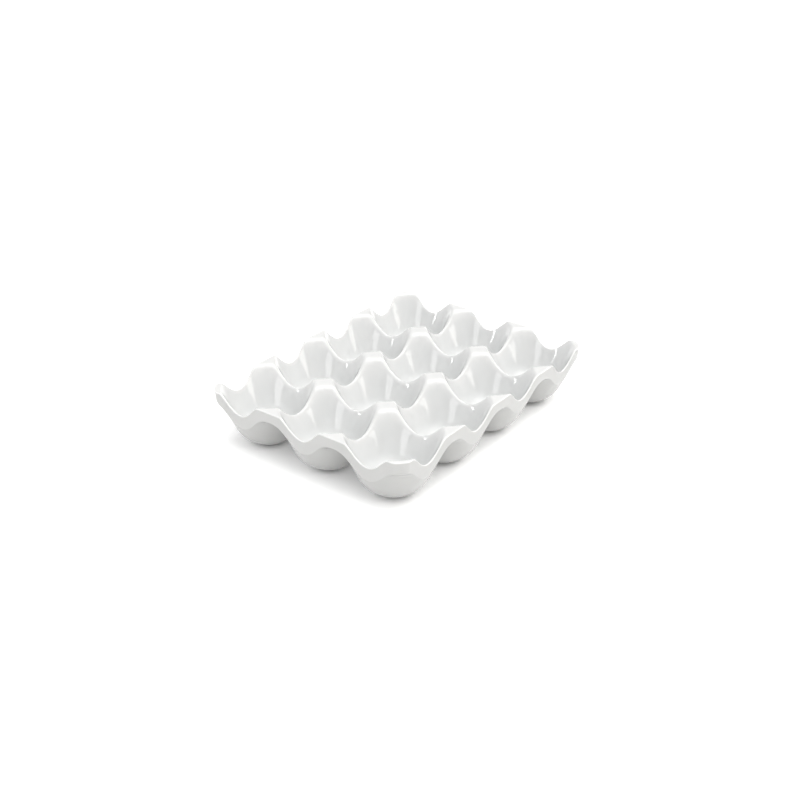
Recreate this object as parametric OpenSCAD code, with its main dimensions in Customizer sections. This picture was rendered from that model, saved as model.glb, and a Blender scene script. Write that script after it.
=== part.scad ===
// Egg tray in glazed ceramic, with round-bottomed cups on a square grid.
// Four cups meet at each flat-topped peak, and a dipped ridge joins peak to peak.
// X runs along the length, Y across the width and Z up. The origin lies on the
// resting plane, under the middle of the tray.
// The tray is one fired piece. Each node is the cell of one cup, and the cells
// meet face to face.

/* [Layout] */
// Number of cups along the length
cups_long = 4; // [2:1:6]
// Number of cups across the width
cups_wide = 3; // [2:1:4]
// Distance between the centres of neighbouring cups
pitch = 52; // [51:0.5:54]

/* [Cups] */
// Radius of the round bottom inside a cup
bowl_r = 21.9; // [21.5:0.1:22.4]
// Slope of the cup wall above its round bottom, from the horizontal
wall_slope = 66; // [64:0.5:68]
// Thickness of the ceramic under the middle of a cup
floor_t = 4.35; // [4:0.05:4.8]
// Radius of the round underside of a cup
shell_r = 25.4; // [25:0.1:26]
// Diameter of the flat foot under each cup
foot_d = 9; // [7:0.5:11]

/* [Peaks and ridges] */
// Height of the flat peaks above the resting plane
tray_h = 40.7; // [39.7:0.1:41.7]
// Height of the ridge between two cups at its lowest
dip_z = 28.6; // [27.6:0.1:29.2]
// Radius of the dip, seen square to the ridge
dip_r = 14.5; // [13.5:0.1:15]
// Thickness of the ceramic at a peak
peak_t = 9.8; // [8.8:0.1:10.2]
// Rounding of the edges of a peak
peak_edge_r = 2.5; // [1.5:0.1:3.5]

/* [Rim] */
// Distance from an outer cup's centre to the rim, at the height of the peaks
rim_reach = 27.6; // [26.5:0.1:28]
// Outward lean of the rim face
rim_lean = 5; // [2:0.5:8]
// Height of the rim beside a cup, at its lowest
rim_dip_z = 27.2; // [26.2:0.1:28.2]
// Radius of that dip, seen square to the rim
rim_dip_r = 16; // [14:0.5:17]
// Radius of the tray's corners in plan, at the height of the peaks
corner_r = 9; // [7:0.5:12]

/* [Hidden] */
$fn = 96;

// Steps along each curved stretch of the cup's profile
bowl_steps = 12;
edge_steps = 5;

// Half the diagonal of a cell, with room for the leaning rim
far_r = pitch * 0.8;
foot_r = foot_d / 2;
// Centre heights of the round bottom, inside and outside
bowl_z = floor_t + bowl_r;
shell_z = sqrt(shell_r * shell_r - foot_r * foot_r);
// Radius at which the inner wall would reach the top of the peaks
mouth_r = bowl_r * sin(wall_slope) + (tray_h - bowl_z + bowl_r * cos(wall_slope)) / tan(wall_slope);
// Height and radius at which the outer wall meets the underside of a peak
peak_under_z = tray_h - peak_t;
shell_top_r = shell_r * sin(wall_slope)
    + (peak_under_z - shell_z + shell_r * cos(wall_slope)) / tan(wall_slope);

lean = tan(rim_lean);
// Rim distance and corner radius on the resting plane
rim_base = rim_reach - tray_h * lean;
corner_base = corner_r - tray_h * lean;
// Centre of a corner's cone, from the centre of the corner cup
corner_at = rim_base - corner_base;

glaze = [0.93, 0.93, 0.92];

function cup_name(row, col) = str("cup_row", row, "_col", col);

// Points on an arc about [0, z], from angle a to angle b above straight down
function bowl_arc(r, z, a, b) =
    [for (k = [0:bowl_steps]) let (t = a + (b - a) * k / bowl_steps) [r * sin(t), z - r * cos(t)]];

// Rounded corner between the inner wall and the top of a peak
function edge_arc() =
    let (r = mouth_r + peak_edge_r * tan(wall_slope / 2), z = tray_h - peak_edge_r)
    [for (k = [0:edge_steps]) let (t = wall_slope * (1 - k / edge_steps))
        [r - peak_edge_r * sin(t), z + peak_edge_r * cos(t)]];

function reversed(list) = [for (k = [len(list) - 1:-1:0]) list[k]];

// Half section through one cup, out to the peak beyond its diagonal
function cup_section() = concat(
    bowl_arc(bowl_r, bowl_z, 0, wall_slope),
    edge_arc(),
    [[far_r, tray_h], [far_r, peak_under_z], [shell_top_r, peak_under_z]],
    reversed(bowl_arc(shell_r, shell_z, asin(foot_r / shell_r), wall_slope)),
    [[0, 0]]
);

// Block between two sides of a cell. A side is flat where a neighbour
// joins it (outer = 0) and leans outwards where it is the rim (outer = 1).
module cell_block(outer_low, outer_high) {
    low = [for (z = [0, tray_h]) outer_low ? rim_base + z * lean : pitch / 2];
    high = [for (z = [0, tray_h]) outer_high ? rim_base + z * lean : pitch / 2];
    rotate([90, 0, 0])
        linear_extrude(height = 2 * pitch, center = true)
            polygon([[-low[0], 0], [high[0], 0], [high[1], tray_h], [-low[1], tray_h]]);
}

// Quarter cone that rounds one corner of the tray
module corner_wedge() {
    rotate_extrude(angle = 90)
        polygon([[0, 0], [corner_base, 0], [corner_base + tray_h * lean, tray_h], [0, tray_h]]);
}

// Plan of one cell. x and y are -1, 0 or 1: the side of the tray that the cell is on.
module cell_plan(x, y) {
    module sides() {
        intersection() {
            cell_block(x < 0 ? 1 : 0, x > 0 ? 1 : 0);
            rotate(90) cell_block(y < 0 ? 1 : 0, y > 0 ? 1 : 0);
        }
    }
    if (x != 0 && y != 0) {
        difference() {
            sides();
            mirror([x < 0 ? 1 : 0, 0, 0])
                mirror([0, y < 0 ? 1 : 0, 0])
                    translate([corner_at, corner_at, -1])
                        cube([pitch, pitch, tray_h + 2]);
        }
        mirror([x < 0 ? 1 : 0, 0, 0])
            mirror([0, y < 0 ? 1 : 0, 0])
                translate([corner_at, corner_at, 0])
                    corner_wedge();
    } else {
        sides();
    }
}

// Round notch on the +X side of a cell, over the middle of its ridge
// (outer = 0) or of its rim (outer = 1)
module side_dip(outer) {
    r = outer ? rim_dip_r : dip_r;
    low = outer ? rim_dip_z : dip_z;
    translate([pitch / 2, 0, low + r])
        rotate([0, 90, 0])
            cylinder(r = r, h = pitch / 4, center = true);
}

// One cup with its share of the ridges and peaks around it
module cup(row, col) {
    x = col == 1 ? -1 : col == cups_long ? 1 : 0;
    y = row == 1 ? -1 : row == cups_wide ? 1 : 0;
    color(glaze)
        translate([(col - (cups_long + 1) / 2) * pitch, (row - (cups_wide + 1) / 2) * pitch, 0])
            difference() {
                intersection() {
                    rotate_extrude() polygon(cup_section());
                    cell_plan(x, y);
                }
                side_dip(x > 0 ? 1 : 0);
                rotate(90) side_dip(y > 0 ? 1 : 0);
                rotate(180) side_dip(x < 0 ? 1 : 0);
                rotate(270) side_dip(y < 0 ? 1 : 0);
            }
}

for (row = [1:cups_wide], col = [1:cups_long])
    cup(row, col);
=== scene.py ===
import math

import bmesh
import bpy
import numpy as np
from mathutils import Matrix, Vector


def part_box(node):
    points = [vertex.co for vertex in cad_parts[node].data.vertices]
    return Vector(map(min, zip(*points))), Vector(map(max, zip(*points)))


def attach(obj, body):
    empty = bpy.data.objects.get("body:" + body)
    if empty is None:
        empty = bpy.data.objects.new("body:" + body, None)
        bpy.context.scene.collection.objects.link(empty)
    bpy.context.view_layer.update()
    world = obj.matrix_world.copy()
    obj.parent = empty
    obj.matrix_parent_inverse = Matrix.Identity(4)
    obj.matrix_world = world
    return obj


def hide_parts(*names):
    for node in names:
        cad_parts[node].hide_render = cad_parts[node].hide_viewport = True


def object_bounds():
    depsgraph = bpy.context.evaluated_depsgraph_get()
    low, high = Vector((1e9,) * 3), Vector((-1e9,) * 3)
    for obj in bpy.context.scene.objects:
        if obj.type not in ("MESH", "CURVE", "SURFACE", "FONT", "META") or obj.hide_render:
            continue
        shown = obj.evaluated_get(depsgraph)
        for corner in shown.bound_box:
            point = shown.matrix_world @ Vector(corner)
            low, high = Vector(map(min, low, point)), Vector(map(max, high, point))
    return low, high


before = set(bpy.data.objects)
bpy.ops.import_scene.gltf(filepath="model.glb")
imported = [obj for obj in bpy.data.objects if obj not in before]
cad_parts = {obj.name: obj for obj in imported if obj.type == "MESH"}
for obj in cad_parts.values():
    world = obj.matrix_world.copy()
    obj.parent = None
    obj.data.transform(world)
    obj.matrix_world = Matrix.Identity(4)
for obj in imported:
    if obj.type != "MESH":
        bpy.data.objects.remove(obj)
CAD_LOW, CAD_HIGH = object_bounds()

MM = 0.001

# ---------------------------------------------------------------- tray: from the CAD
CELL_LOW, CELL_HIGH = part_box("cup_row2_col2")
PITCH = CELL_HIGH.x - CELL_LOW.x
COLS = round((CAD_HIGH.x - CAD_LOW.x) / PITCH)
ROWS = round((CAD_HIGH.y - CAD_LOW.y) / PITCH)
TRAY_H = CAD_HIGH.z
HALF_X = CAD_HIGH.x
HALF_Y = CAD_HIGH.y

# ---------------------------------------------------------------- tray: driving sizes
BOWL_R = 21.9 * MM           # round bottom inside a cup
FLOOR_T = 4.35 * MM          # thickness under the middle of a cup
SHELL_R = 25.4 * MM          # round underside of a cup
FOOT_R = 4.5 * MM            # flat foot under a cup
WALL_SLOPE = math.radians(66)
PEAK_T = 8.6 * MM            # thickness at a peak
BOWL_Z = FLOOR_T + BOWL_R
SHELL_Z = math.sqrt(SHELL_R ** 2 - FOOT_R ** 2)

# Softness of each fold in the surface: the length k of a soft minimum
RIDGE_SOFT = 1.5 * MM
PEAK_SOFT = 0.95 * MM
ARCH_SOFT = 3.2 * MM
FOOT_SOFT = 0.15 * MM

LEAN = math.radians(6)       # outward lean of the rim face
CORNER_R = 9 * MM            # tray corner in plan, at the top
CORNER_FLAT = 0.1            # share of that radius lost at the corner's middle
LIP_R_DIP = 0.6 * MM         # rounding of the rim, at a dip
LIP_R_PEAK = 0.8 * MM        # rounding of the rim, at a peak
LIP_RISE = 4 * MM            # the rounding grows over this height, up to a peak
HEM_R = 2.2 * MM             # rounding of the rim face's lower edge
HEM_R_CORNER = 4.5 * MM      # the same, at the tray's corners
RIM_SEARCH = 14 * MM         # how far in from the rim a rounding may reach
RIM_SAMPLES = 701            # places tried over that reach
HALVINGS = 32                # of the range of heights in which a rounding is sought

# Mesh density
EDGE_STEPS = 32              # along one side of a cell
CORNER_STEPS = 14            # round one tray corner
DISC_R = 17 * MM             # rings are circles out to here, then blend to the cell
DISC_RINGS = 8               # inside that circle
TOP_RINGS = 25               # outside it, on the top surface
UNDER_RINGS = 14             # outside it, on the underside
LIP_STEPS = 12               # round the rim's lip
FACE_STEPS = 6               # down the rim face
HEM_STEPS = 6                # round the face's lower edge
SAME_POINT = 2e-6            # points of two patches this close are one

# ---------------------------------------------------------------- glaze
GLAZE_SHADED_HOLLOW = (0.652, 0.658, 0.658)      # painted shade: greyer in hollows
GLAZE_LIT_CREST = (0.685, 0.685, 0.683)       # painted light: whiter on crests
GLAZE_SHADED_OUTSIDE = (0.472, 0.472, 0.467)      # painted shade on the outside
GLAZE_SHADED_UNDERSIDE = (0.36, 0.36, 0.354)        # painted shade underneath, darker still
BARE_DARK = (0.56, 0.545, 0.52)          # grain of the bare feet
BARE_LIGHT = (0.64, 0.625, 0.60)
FOLD_RADIUS = 4 * MM         # a fold this tight counts in full
FOLD_BLUR = 3                # passes that even the folds out
FOLD_FULL_SHADE, FOLD_FULL_LIGHT = 0.4, 0.62        # "fold" where the painted shade is full and where the painted light on crests is full
UNEVEN_SCALE, UNEVEN_FOLD = 60, 0.06     # patches in the glaze, and how far they shift "fold"
OUTSIDE_SHADE_FROM, OUTSIDE_SHADE_FULL = 0.33, -0.03     # upward part of the normal where the painted shade of the outside sets in
UNDERSIDE_SHADE_FROM, UNDERSIDE_SHADE_FULL = -0.15, -0.75    # and where the painted shade underneath deepens
FOOT_BARE_Z = 0.45 * MM      # no glaze below this height
FOOT_BARE_FULL = 0.7         # share of that height below which the foot is all bare
FOOT_WANDER = 0.08 * MM      # how far that edge wanders
NOISE_LOW, NOISE_HIGH = 0.3, 0.7         # most of a noise's values lie between these
GRAIN_LOW, GRAIN_HIGH = 0.35, 0.65       # the same, for more contrast in the bare ceramic
GRAIN_SCALE = 2500           # of the bare ceramic
GLOSS, GLOSS_SCALE = (0.03, 0.08), 160   # roughness of the glaze
BARE_ROUGH = 0.6             # added on the bare ceramic
GLAZE_IOR = 1.52
# Depth, strength and scale of the slow waves left by dipping, and of a faint orange peel
WAVES = (0.6 * MM, 0.5, 75)
PEEL = (0.03 * MM, 0.3, 900)

# ---------------------------------------------------------------- light and view
FLOOR_SIZE = 12.0
FLOOR_TONE = (0.95, 0.95, 0.95, 1)
FLOOR_ROUGH, FLOOR_SHINE = 0.9, 0.1
VIEW_AZIMUTH = math.radians(52.754)
VIEW_ELEVATION = math.radians(28.052)
VIEW_ROLL = math.radians(0.357)
VIEW_TARGET = Vector((-11.3, -5.93, 20.8)) * MM
VIEW_DISTANCE = 803.87 * MM
SENSOR, LENS = 36, 53.77         # in mm, as Blender has them
CLIP_NEAR, CLIP_FAR = 0.01, 50
SKY_LOW, SKY_HIGH = 0.08, 1.3    # brightness just above the horizon and overhead
HAZE = 0.95                      # added at the horizon
HAZE_LOW, HAZE_HIGH = 0.08, 0.26     # it fades between these sines of the elevation
KEY_FROM = (0.30, -0.28, 0.91)   # direction of the key: right, back, up
KEY_STRENGTH = 3.8
KEY_SPREAD = 10                  # power of the cosine that the key fades with
FLOOR_PAINTED_GLOW = 0.2                 # painted light: the floor glows, which lifts its shadows
GLOW_MASK_R = 6 * MM             # but not this close to a foot's centre, where the contact shadows stay dark
GLOW_FULL_R = 16 * MM            # and fully from here on
SKY_COOL = (0.985, 0.995, 1.0)
SKY_WARM = (1.0, 0.99, 0.965)

# Name, place (right, back, up), size, radiance and colour
SOFT_BOXES = [
    ("lamp_right", (0.86, 0.33, 0.92), (0.14, 0.14), 20.0, (1, 1, 1)),
    ("lamp_back", (0.0, 0.5, 1.0), (0.35, 0.06), 14.0, (1, 1, 1)),
    ("window", (-0.6, -1.04, 0.45), (0.42, 0.35), 3.0, (1, 1, 1)),
    ("fill", (1.1, -0.75, 0.4), (0.4, 0.3), 3.8, (1.0, 0.98, 0.93)),
    ("strip", (-1.19, 0.14, 0.28), (0.13, 0.5), 10.5, (1, 1, 1)),
]

CENTRES = [((col - (COLS - 1) / 2) * PITCH, (row - (ROWS - 1) / 2) * PITCH)
           for row in range(ROWS) for col in range(COLS)]


# ---------------------------------------------------------------- tray: surfaces
def soft_min(values, k):
    """Smallest of the stacked arrays, with the fold between them rounded."""
    low = np.min(values, axis=0)
    return low - k * np.log(np.sum(np.exp(-(values - low) / k), axis=0))


def cup_distance(x, y):
    """Distance to the nearest cup centre, rounded where two cups meet."""
    return soft_min(np.stack([np.hypot(x - cx, y - cy) for cx, cy in CENTRES]), RIDGE_SOFT)


def bowl(r, radius, centre_z):
    """Height of a bowl of that radius, round below and sloping straight above."""
    wall_r = radius * math.sin(WALL_SLOPE)
    wall_z = centre_z - radius * math.cos(WALL_SLOPE)
    round_z = centre_z - np.sqrt(radius ** 2 - np.clip(r, 0, wall_r) ** 2)
    return np.where(r < wall_r, round_z, wall_z + (r - wall_r) * math.tan(WALL_SLOPE))


def top_z(x, y):
    """Height of the top surface: cups, ridges between them and flat peaks."""
    z = bowl(cup_distance(x, y), BOWL_R, BOWL_Z)
    return soft_min(np.stack([z, np.full_like(z, TRAY_H)]), PEAK_SOFT)


def under_z(x, y):
    """Height of the underside: a shell under each cup, arches and flat feet."""
    z = bowl(cup_distance(x, y), SHELL_R, SHELL_Z)
    z = soft_min(np.stack([z, np.full_like(z, TRAY_H - PEAK_T)]), ARCH_SOFT)
    return -soft_min(np.stack([-z, np.zeros_like(z)]), FOOT_SOFT)


# ---------------------------------------------------------------- tray: rim
def rim_line():
    """Points on the rim at full height, anticlockwise from above, with inward normals."""
    points, normals = [], []
    corner = Vector((HALF_X - CORNER_R, HALF_Y - CORNER_R))
    for quarter in range(4):
        along_x = quarter % 2 == 1
        cells = COLS if along_x else ROWS
        half = corner.x if along_x else corner.y
        out = Vector((math.cos(quarter * math.pi / 2), math.sin(quarter * math.pi / 2)))
        ahead = Vector((-out.y, out.x))
        reach = HALF_Y if along_x else HALF_X
        stops = [-half] + [(k - cells / 2) * PITCH for k in range(1, cells)] + [half]
        for a, b in zip(stops, stops[1:]):
            steps = round(EDGE_STEPS * (b - a) / PITCH)
            for k in range(steps):
                points.append(out * reach + ahead * (a + (b - a) * k / steps))
                normals.append(-out)
        hub = out * (reach - CORNER_R) + ahead * half
        for k in range(CORNER_STEPS):
            turn = k / CORNER_STEPS * math.pi / 2
            spoke = out * math.cos(turn) + ahead * math.sin(turn)
            flattening = CORNER_FLAT * math.sin(2 * turn) ** 2
            points.append(hub + spoke * CORNER_R * (1 - flattening))
            normals.append(-spoke)
    return np.array(points), np.array(normals)


RIM, INWARD = rim_line()


def inset(e, surface):
    """Heights of a surface at the distance e in from the rim line."""
    return surface(RIM[:, :1] + INWARD[:, :1] * e, RIM[:, 1:] + INWARD[:, 1:] * e)


def rim_rounding(surface, radius, sign):
    """Where a ball of that radius touches both the rim face and a surface.

    sign is 1 for the top surface and -1 for the underside. Returns the ball's
    centre and its touching point on the surface, as (distance in, height).
    """
    e = np.linspace(0, RIM_SEARCH, RIM_SAMPLES)[None]
    z = inset(e, surface)
    inner, outer = np.zeros(len(RIM)), np.full(len(RIM), TRAY_H)
    if sign < 0:
        inner, outer = outer, inner
    for _ in range(HALVINGS):
        face_z = (inner + outer) / 2
        centre_e = (TRAY_H - face_z) * math.tan(LEAN) + radius * math.cos(LEAN)
        centre_z = face_z + radius * math.sin(LEAN)
        gap = np.min(np.hypot(e - centre_e[:, None], z - centre_z[:, None]), axis=1)
        beyond = sign * (centre_z - inset(centre_e[:, None], surface)[:, 0]) > 0
        too_far = beyond | (gap < radius)
        outer = np.where(too_far, face_z, outer)
        inner = np.where(too_far, inner, face_z)
    nearest = np.argmin(np.hypot(e - centre_e[:, None], z - centre_z[:, None]), axis=1)
    touch_e = e[0, nearest]
    touch_z = inset(touch_e[:, None], surface)[:, 0]
    return np.stack([centre_e, centre_z], 1), np.stack([touch_e, touch_z], 1)


def smooth_step(x, low, high):
    t = np.clip((x - low) / (high - low), 0, 1)
    return t * t * (3 - 2 * t)


def rim_profiles():
    """For each rim point, the section from the top surface round to the underside.

    Its points are (distance in, height).
    """
    lip_z = inset(np.full((1, 1), 2 * LIP_R_DIP), top_z)[:, 0]
    rise = smooth_step(lip_z, TRAY_H - LIP_RISE, TRAY_H)
    lip_r = LIP_R_DIP + (LIP_R_PEAK - LIP_R_DIP) * rise
    turned = (2 * INWARD[:, 0] * INWARD[:, 1]) ** 2
    hem_r = HEM_R + (HEM_R_CORNER - HEM_R) * turned
    lip, lip_touch = rim_rounding(top_z, lip_r, 1)
    hem, hem_touch = rim_rounding(under_z, hem_r, -1)

    def arc(centre, radius, start, end, steps):
        turn = start + (end - start) * np.linspace(0, 1, steps + 1)[:, None]
        return centre[None] + radius[None, :, None] * np.stack([np.cos(turn), np.sin(turn)], -1)

    def direction(centre, point):
        angle = np.arctan2(point[:, 1] - centre[:, 1], point[:, 0] - centre[:, 0])
        return np.where(angle < 0, angle + 2 * math.pi, angle)

    face = np.full(len(RIM), math.pi + LEAN)
    lip_arc = arc(lip, lip_r, direction(lip, lip_touch), face, LIP_STEPS)
    hem_arc = arc(hem, hem_r, face, direction(hem, hem_touch), HEM_STEPS)
    lip_arc[0] = lip_touch
    hem_arc[-1] = hem_touch
    share = np.linspace(0, 1, FACE_STEPS + 1)[1:-1, None, None]
    flat = lip_arc[-1] + (hem_arc[0] - lip_arc[-1]) * share
    return np.concatenate([lip_arc, flat, hem_arc])


PROFILES = rim_profiles()


def rim_ring(index):
    """One ring of the rim's section, as (x, y) round the whole tray."""
    return RIM + INWARD * PROFILES[index, :, :1]


# ---------------------------------------------------------------- tray: mesh
class Mesh:
    """Collects points and faces of patches that share their borders."""

    def __init__(self):
        self.points = []
        self.faces = []
        self.count = 0

    def add(self, points):
        first = self.count
        self.points.append(points)
        self.count += len(points)
        return first

    def rows(self, grid, turned):
        """Quads between the rows of grid, each row closed on itself."""
        first = self.add(grid.reshape(-1, 3))
        wide = grid.shape[1]
        for row in range(grid.shape[0] - 1):
            for k in range(wide):
                near = first + row * wide
                far = near + wide
                face = (near + k, near + (k + 1) % wide, far + (k + 1) % wide, far + k)
                self.faces.append(face[::-1] if turned else face)
        return first


def straight(a, b):
    """Points from a towards b, without b."""
    return [a + (b - a) * k / EDGE_STEPS for k in range(EDGE_STEPS)]


def cell_outline(row, col, border):
    """Anticlockwise outline of a cell. border is the rim ring that outer cells end at."""
    x = [(col + k - COLS / 2) * PITCH for k in (0, 1)]
    y = [(row + k - ROWS / 2) * PITCH for k in (0, 1)]
    corners = [np.array(c) for c in ((x[0], y[0]), (x[1], y[0]), (x[1], y[1]), (x[0], y[1]))]
    outer = [row == 0, col == COLS - 1, row == ROWS - 1, col == 0]

    def on_rim(corner, side):
        """The border's point straight out from a corner, on a side of the tray."""
        axis = 0 if side in (0, 2) else 1
        sign = -1 if side in (0, 3) else 1
        off = np.abs(border[:, axis] - corner[axis])
        far = border[:, 1 - axis] * sign
        slight = 1e-3    # just enough to prefer that side's border to the opposite one's
        return int(np.argmin(off - far * slight))

    line = []
    for side in range(4):
        a, b = corners[side], corners[(side + 1) % 4]
        before, after = outer[side - 1], outer[(side + 1) % 4]
        if not outer[side]:
            start = border[on_rim(a, (side - 1) % 4)] if before else a
            end = border[on_rim(b, (side + 1) % 4)] if after else b
            line += straight(start, end)
        elif not before:
            first = on_rim(a, side)
            last_side = (side + 1) % 4 if after else side
            last_corner = corners[(last_side + 1) % 4]
            last = on_rim(last_corner, last_side)
            run = (last - first) % len(border)
            line += [border[(first + k) % len(border)] for k in range(run)]
    return np.array(line)


def add_cell(mesh, row, col, border, surface, rings, turned):
    """One cell of a surface, in rings from the cup's middle out to the cell's outline."""
    centre = np.array(CENTRES[row * COLS + col])
    outline = cell_outline(row, col, border)
    spoke = outline - centre
    length = np.hypot(*spoke.T)[:, None]
    spoke = spoke / length
    reach = [np.full_like(length, DISC_R * k / DISC_RINGS) for k in range(1, DISC_RINGS)]
    reach += [DISC_R + (length - DISC_R) * k / rings for k in range(rings)]
    plan = [centre + spoke * r for r in reach] + [outline]
    grid = np.stack([np.column_stack([p, surface(*p.T)]) for p in plan])
    first = mesh.rows(grid, turned)
    hub = mesh.add(np.array([[*centre, float(surface(*centre.reshape(2, 1))[0])]]))
    wide = len(outline)
    for k in range(wide):
        face = (hub, first + (k + 1) % wide, first + k)
        mesh.faces.append(face[::-1] if turned else face)


def build_tray(material):
    mesh = Mesh()
    for row in range(ROWS):
        for col in range(COLS):
            add_cell(mesh, row, col, rim_ring(0), top_z, TOP_RINGS, True)
            add_cell(mesh, row, col, rim_ring(-1), under_z, UNDER_RINGS, False)
    band = np.stack([np.column_stack([rim_ring(k), PROFILES[k, :, 1]])
                     for k in range(len(PROFILES))])
    mesh.rows(band, True)

    data = bpy.data.meshes.new("egg_tray")
    data.from_pydata(np.concatenate(mesh.points).tolist(), [], mesh.faces)
    work = bmesh.new()
    work.from_mesh(data)
    bmesh.ops.remove_doubles(work, verts=work.verts, dist=SAME_POINT)
    for face in work.faces:
        face.smooth = True
    work.to_mesh(data)
    work.free()
    data.materials.append(material)
    tray = bpy.data.objects.new("egg_tray", data)
    bpy.context.scene.collection.objects.link(tray)
    return tray


# ---------------------------------------------------------------- materials
def mark_folds(tray):
    """Vertex attribute "fold": above 0.5 on crests, below 0.5 in hollows."""
    data = tray.data
    points = np.empty(len(data.vertices) * 3)
    normals = np.empty(len(data.vertices) * 3)
    pairs = np.empty(len(data.edges) * 2, dtype=np.int32)
    data.vertices.foreach_get("co", points)
    data.vertex_normals.foreach_get("vector", normals)
    data.edges.foreach_get("vertices", pairs)
    points, normals, pairs = points.reshape(-1, 3), normals.reshape(-1, 3), pairs.reshape(-1, 2)
    a, b = pairs.T
    step, turn = points[b] - points[a], normals[b] - normals[a]
    bend = np.sum(step * turn, axis=1) / np.sum(step * step, axis=1)
    count = len(points)
    weight = np.bincount(a, minlength=count) + np.bincount(b, minlength=count)
    total = (np.bincount(a, bend, count) + np.bincount(b, bend, count)) / weight
    for _ in range(FOLD_BLUR):
        total = (np.bincount(a, total[b], count) + np.bincount(b, total[a], count)) / weight
    fold = np.clip(0.5 + total * FOLD_RADIUS / 2, 0, 1)
    data.attributes.new("fold", "FLOAT", "POINT").data.foreach_set("value", fold)


class Nodes:
    """Short form for building a node tree."""

    def __init__(self, owner):
        owner.use_nodes = True
        self.tree = owner.node_tree

    def add(self, kind, **settings):
        node = self.tree.nodes.new(kind)
        for key, value in settings.items():
            setattr(node, key, value)
        return node

    def link(self, source, target):
        self.tree.links.new(source, target)

    def noise(self, vector, scale, detail):
        node = self.add("ShaderNodeTexNoise")
        node.inputs["Scale"].default_value = scale
        node.inputs["Detail"].default_value = detail
        self.link(vector, node.inputs["Vector"])
        return node.outputs["Fac"]

    def spread(self, value, from_low, from_high, to_low, to_high, smooth=False):
        node = self.add("ShaderNodeMapRange")
        node.interpolation_type = "SMOOTHSTEP" if smooth else "LINEAR"
        for name, number in (("From Min", from_low), ("From Max", from_high),
                             ("To Min", to_low), ("To Max", to_high)):
            node.inputs[name].default_value = number
        self.link(value, node.inputs["Value"])
        return node.outputs["Result"]

    def blend(self, factor, a, b):
        """Colour mix. a and b are colours or sockets."""
        node = self.add("ShaderNodeMix", data_type="RGBA")
        self.link(factor, node.inputs["Factor"])
        for socket, source in ((node.inputs[6], a), (node.inputs[7], b)):
            if isinstance(source, tuple):
                socket.default_value = (*source, 1)
            else:
                self.link(source, socket)
        return node.outputs[2]

    def part(self, vector, axis):
        """The X, Y or Z of a vector."""
        node = self.add("ShaderNodeSeparateXYZ")
        self.link(vector, node.inputs[0])
        return node.outputs[axis]

    def geometry(self, name):
        return self.add("ShaderNodeNewGeometry").outputs[name]

    def bump(self, place, look, under=None):
        """Normal of a bumpy surface. look is its depth, strength and scale."""
        depth, strength, scale = look
        node = self.add("ShaderNodeBump")
        node.inputs["Distance"].default_value = depth
        node.inputs["Strength"].default_value = strength
        self.link(self.noise(place, scale, 2), node.inputs["Height"])
        if under is not None:
            self.link(under, node.inputs["Normal"])
        return node.outputs["Normal"]

    def along(self, vector, direction):
        """How far a vector points in a direction."""
        node = self.add("ShaderNodeVectorMath", operation="DOT_PRODUCT")
        node.inputs[1].default_value = direction.normalized()
        self.link(vector, node.inputs[0])
        return node.outputs["Value"]

    def maths(self, operation, a, b):
        """One sum on values. a and b are numbers or sockets."""
        node = self.add("ShaderNodeMath", operation=operation)
        for socket, source in zip(node.inputs, (a, b)):
            if isinstance(source, (int, float)):
                socket.default_value = source
            else:
                self.link(source, socket)
        return node.outputs[0]

    def from_middle(self, value):
        """How far a value lies from the middle of its pitch, which starts at 0."""
        node = self.add("ShaderNodeMath", operation="WRAP")
        node.inputs[1].default_value = PITCH
        node.inputs[2].default_value = 0
        self.link(value, node.inputs[0])
        return self.maths("SUBTRACT", node.outputs[0], PITCH / 2)


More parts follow.
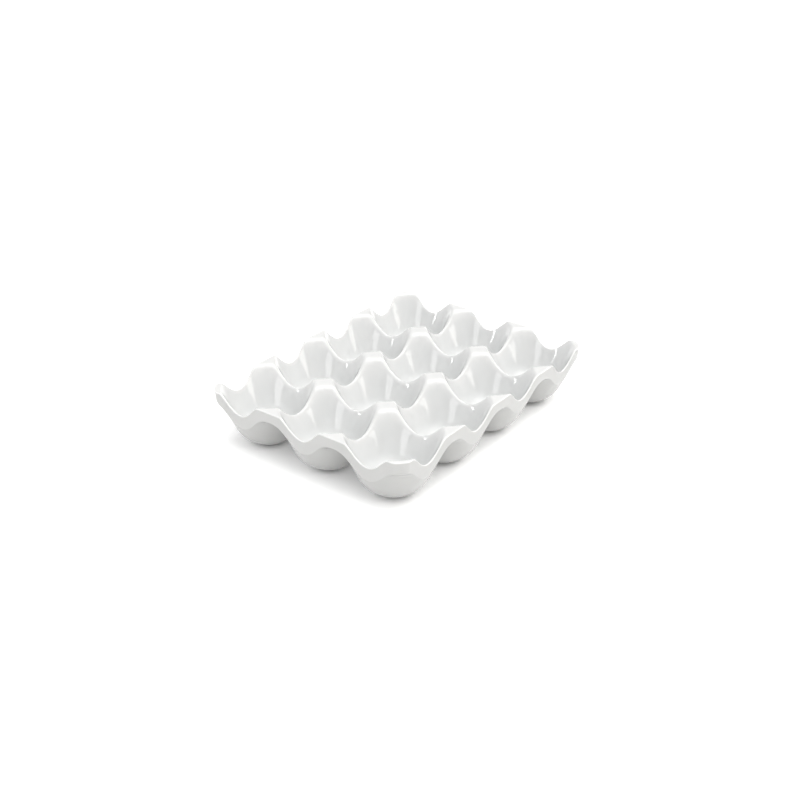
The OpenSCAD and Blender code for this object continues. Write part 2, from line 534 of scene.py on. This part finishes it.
def glaze_material():
    material = bpy.data.materials.new("white_glaze")
    nodes = Nodes(material)
    shader = nodes.tree.nodes["Principled BSDF"]
    place = nodes.geometry("Position")
    fold = nodes.add("ShaderNodeAttribute", attribute_name="fold").outputs["Fac"]

    # Painted shade and light: greyer in hollows and whiter on crests, by the fold of the surface
    uneven = nodes.noise(place, UNEVEN_SCALE, 3)
    shift = nodes.spread(uneven, NOISE_LOW, NOISE_HIGH, -UNEVEN_FOLD, UNEVEN_FOLD)
    depth = nodes.maths("ADD", fold, shift)
    crest_light = nodes.spread(depth, FOLD_FULL_SHADE, FOLD_FULL_LIGHT, 0, 1, smooth=True)
    colour = nodes.blend(crest_light, GLAZE_SHADED_HOLLOW, GLAZE_LIT_CREST)

    # Painted shade: surfaces facing sideways or down are darker, and the underside darker still
    facing_up = nodes.part(nodes.geometry("Normal"), "Z")
    outer = nodes.spread(facing_up, OUTSIDE_SHADE_FROM, OUTSIDE_SHADE_FULL, 0, 1, smooth=True)
    colour = nodes.blend(outer, colour, GLAZE_SHADED_OUTSIDE)
    under = nodes.spread(facing_up, UNDERSIDE_SHADE_FROM, UNDERSIDE_SHADE_FULL, 0, 1)
    colour = nodes.blend(under, colour, GLAZE_SHADED_UNDERSIDE)

    # The feet are wiped bare before firing
    wander = nodes.spread(uneven, NOISE_LOW, NOISE_HIGH, -FOOT_WANDER, FOOT_WANDER)
    edge = nodes.maths("ADD", nodes.part(place, "Z"), wander)
    bare = nodes.spread(edge, FOOT_BARE_Z, FOOT_BARE_Z * FOOT_BARE_FULL, 0, 1, smooth=True)
    grain = nodes.spread(nodes.noise(place, GRAIN_SCALE, 4), GRAIN_LOW, GRAIN_HIGH, 0, 1)
    body = nodes.blend(grain, BARE_DARK, BARE_LIGHT)
    nodes.link(nodes.blend(bare, colour, body), shader.inputs["Base Color"])

    sheen = nodes.spread(nodes.noise(place, GLOSS_SCALE, 4), NOISE_LOW, NOISE_HIGH, *GLOSS)
    rough = nodes.maths("ADD", sheen, nodes.maths("MULTIPLY", bare, BARE_ROUGH))
    nodes.link(rough, shader.inputs["Roughness"])
    shader.inputs["IOR"].default_value = GLAZE_IOR

    waves = nodes.bump(place, WAVES)
    nodes.link(nodes.bump(place, PEEL, waves), shader.inputs["Normal"])
    return material


def floor_material():
    material = bpy.data.materials.new("floor")
    nodes = Nodes(material)
    shader = nodes.tree.nodes["Principled BSDF"]
    shader.inputs["Base Color"].default_value = FLOOR_TONE
    shader.inputs["Roughness"].default_value = FLOOR_ROUGH
    shader.inputs["Specular IOR Level"].default_value = FLOOR_SHINE
    shader.inputs["Emission Color"].default_value = (1, 1, 1, 1)

    # The painted glow stops short of each foot, so the contact shadows there stay dark
    place = nodes.geometry("Position")
    squares = []
    for axis, count in (("X", COLS), ("Y", ROWS)):
        from_edge = nodes.maths("ADD", nodes.part(place, axis), count * PITCH / 2)
        away = nodes.from_middle(from_edge)
        squares.append(nodes.maths("MULTIPLY", away, away))
    away = nodes.maths("POWER", nodes.maths("ADD", *squares), 0.5)
    glow = nodes.spread(away, GLOW_MASK_R, GLOW_FULL_R, 0, FLOOR_PAINTED_GLOW, smooth=True)
    nodes.link(glow, shader.inputs["Emission Strength"])
    return material


# ---------------------------------------------------------------- stage
def build_floor():
    work = bmesh.new()
    bmesh.ops.create_grid(work, x_segments=1, y_segments=1, size=FLOOR_SIZE / 2)
    data = bpy.data.meshes.new("floor")
    work.to_mesh(data)
    work.free()
    data.materials.append(floor_material())
    floor = bpy.data.objects.new("floor", data)
    bpy.context.scene.collection.objects.link(floor)


def from_view(right, back, up):
    """A place given as seen by the camera: to its right, away from it, and up."""
    turn = VIEW_AZIMUTH
    return Vector((right * math.cos(turn) + back * math.sin(turn),
                   -right * math.sin(turn) + back * math.cos(turn), up))


def soft_box(name, place, size, radiance, colour):
    data = bpy.data.lights.new(name, "AREA")
    data.shape = "RECTANGLE"
    data.size, data.size_y = size
    data.energy = radiance * math.pi * size[0] * size[1]
    data.color = colour
    light = bpy.data.objects.new(name, data)
    light.location = place
    light.rotation_euler = (-place).to_track_quat("-Z", "Y").to_euler()
    bpy.context.scene.collection.objects.link(light)


def build_world():
    """A sky that brightens with height, with a haze at the horizon and a broad key lobe."""
    world = bpy.data.worlds.new("studio")
    bpy.context.scene.world = world
    nodes = Nodes(world)
    sky = nodes.tree.nodes["Background"]
    toward = nodes.add("ShaderNodeTexCoord").outputs["Generated"]
    height = nodes.part(toward, "Z")
    steep = nodes.maths("POWER", nodes.spread(height, 0, 1, 0, 1), 2)
    rise = nodes.spread(steep, 0, 1, SKY_LOW, SKY_HIGH)
    at_key = nodes.spread(nodes.along(toward, from_view(*KEY_FROM)), 0, 1, 0, 1)
    key = nodes.maths("MULTIPLY", nodes.maths("POWER", at_key, KEY_SPREAD), KEY_STRENGTH)
    haze = nodes.spread(height, HAZE_LOW, HAZE_HIGH, HAZE, 0, smooth=True)
    total = nodes.maths("ADD", nodes.maths("ADD", rise, key), haze)
    nodes.link(total, sky.inputs["Strength"])
    to_right = nodes.spread(nodes.along(toward, from_view(1, 0, 0)), -1, 1, 0, 1)
    nodes.link(nodes.blend(to_right, SKY_COOL, SKY_WARM), sky.inputs["Color"])


def build_camera():
    level = from_view(1, 0, 0)
    forward = from_view(0, math.cos(VIEW_ELEVATION), -math.sin(VIEW_ELEVATION))
    up = level.cross(forward)
    right = level * math.cos(VIEW_ROLL) + up * math.sin(VIEW_ROLL)
    up = right.cross(forward)
    data = bpy.data.cameras.new("camera")
    data.sensor_width = SENSOR
    data.lens = LENS
    data.clip_start = CLIP_NEAR
    data.clip_end = CLIP_FAR
    camera = bpy.data.objects.new("camera", data)
    turn = Matrix((right, up, -forward)).transposed().to_4x4()
    camera.matrix_world = Matrix.Translation(VIEW_TARGET - forward * VIEW_DISTANCE) @ turn
    bpy.context.scene.collection.objects.link(camera)
    bpy.context.scene.camera = camera


tray = build_tray(glaze_material())
mark_folds(tray)
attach(tray, "root")
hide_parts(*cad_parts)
build_floor()
build_world()
for box in SOFT_BOXES:
    name, spot, *look = box
    soft_box(name, from_view(*spot), *look)
build_camera()
bpy.context.scene.view_settings.view_transform = "Standard"
